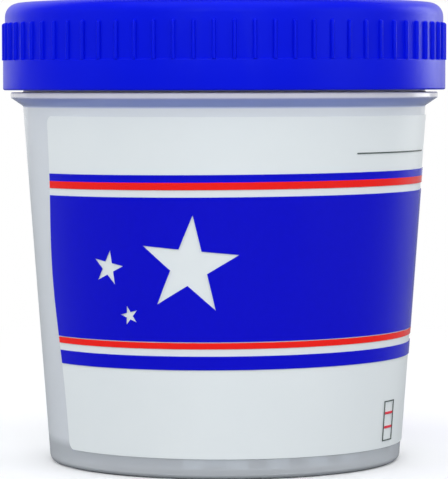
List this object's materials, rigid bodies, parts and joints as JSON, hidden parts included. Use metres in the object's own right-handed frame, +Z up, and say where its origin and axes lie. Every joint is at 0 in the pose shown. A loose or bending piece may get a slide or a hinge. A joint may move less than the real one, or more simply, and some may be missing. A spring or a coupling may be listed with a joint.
{
  "type": "drug test cup",
  "caption": "Tapered frosted specimen cup with a ribbed blue screw lid, a striped wrap label with stars, and a curved carrier of test strips inside.",
  "frame": {"origin": "on the table, at the cup's axis", "axes": "+Z up the cup's axis, the front of the label faces -Y"},
  "size_m": [0.083, 0.083, 0.0853],
  "materials": {
    "frosted_cup": "frosted polypropylene",
    "blue_lid": "moulded blue polypropylene, satin",
    "seal_foam": "white foam",
    "carrier_plastic": "moulded white polystyrene",
    "test_strip": "fibre pads on card",
    "label_film": "white film",
    "ink_blue": "printed",
    "ink_red": "printed",
    "ink_dark": "printed"
  },
  "bodies": {
    "cup": {"cup_body": "frosted_cup", "strip_carrier": "carrier_plastic", "test_strip_01": "test_strip", "test_strip_02": "test_strip", "test_strip_03": "test_strip", "test_strip_04": "test_strip", "test_strip_05": "test_strip", "test_strip_06": "test_strip", "test_strip_07": "test_strip", "test_strip_08": "test_strip", "test_strip_09": "test_strip", "test_strip_10": "test_strip", "test_strip_11": "test_strip", "test_strip_12": "test_strip", "wrap_label": "label_film", "label_blue_top_stripe": "ink_blue", "label_red_top_stripe": "ink_red", "label_blue_field": "ink_blue", "label_red_low_stripe": "ink_red", "label_blue_low_stripe": "ink_blue", "label_write_line": "ink_dark", "label_window_outline": "ink_dark", "label_window_lines": "ink_red"},
    "seal": {"lid_seal_ring": "seal_foam"},
    "lid": {"screw_lid": "blue_lid"}
  },
  "joints": [
    {"name": "lid_rise", "type": "slide", "parent": "cup", "child": "seal", "axis": [0, 0, 1], "range_m": [0, 0.01351]},
    {"name": "lid_turn", "type": "hinge", "parent": "seal", "child": "lid", "pos_m": [0, 0, 0.0772], "axis": [0, 0, 1], "range_deg": [0, 540]}
  ],
  "couplings": [
    {"joint": "lid_rise", "follows": "lid_turn", "m_per_rad": 0.0014324}
  ]
}
